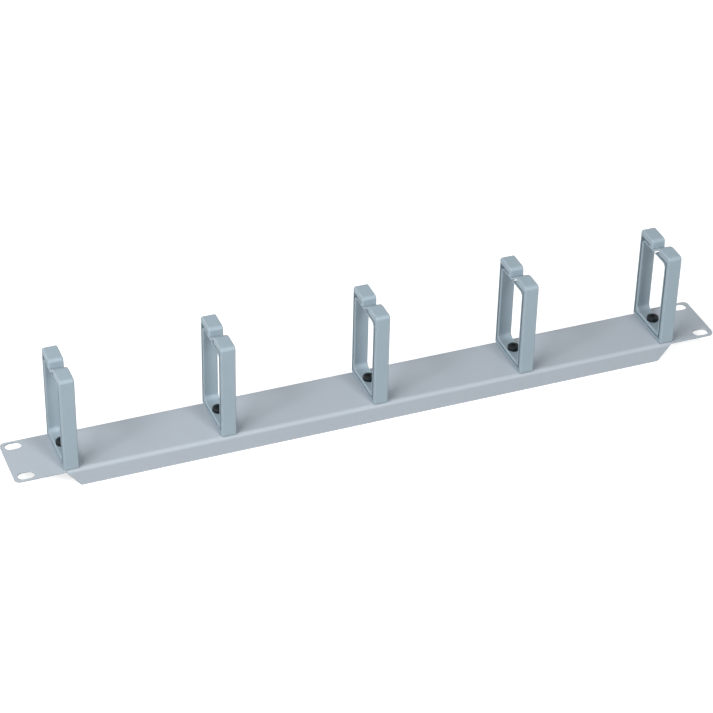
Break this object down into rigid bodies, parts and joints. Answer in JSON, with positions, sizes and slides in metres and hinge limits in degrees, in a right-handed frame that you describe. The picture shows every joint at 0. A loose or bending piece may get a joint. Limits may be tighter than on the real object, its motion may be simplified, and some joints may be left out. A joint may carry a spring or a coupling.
{
  "type": "rack cable organizer",
  "caption": "Folded steel rack panel with a row of upright split plastic rings that hold cables, each fixed by a screw, a washer and a nut.",
  "frame": {"origin": "middle of the back of the ears, in the plane that meets the rack posts", "axes": "+X along the panel, +Y across it towards the rings' fixed arms, +Z out of its front face, the way the rings stand"},
  "size_m": [0.481, 0.0412, 0.0802],
  "materials": {
    "panel_coat": "satin light grey powder coat",
    "ring_plastic": "bluish grey moulded plastic, fine matt grain",
    "screw_black": "black oxide",
    "zinc": "bright zinc plate"
  },
  "bodies": {
    "root": {"panel": "panel_coat", "ring_1": "ring_plastic", "ring_2": "ring_plastic", "ring_3": "ring_plastic", "ring_4": "ring_plastic", "ring_5": "ring_plastic", "screw_1": "screw_black", "screw_2": "screw_black", "screw_3": "screw_black", "screw_4": "screw_black", "screw_5": "screw_black", "washer_1": "zinc", "washer_2": "zinc", "washer_3": "zinc", "washer_4": "zinc", "washer_5": "zinc", "nut_1": "zinc", "nut_2": "zinc", "nut_3": "zinc", "nut_4": "zinc", "nut_5": "zinc"}
  },
  "joints": []
}
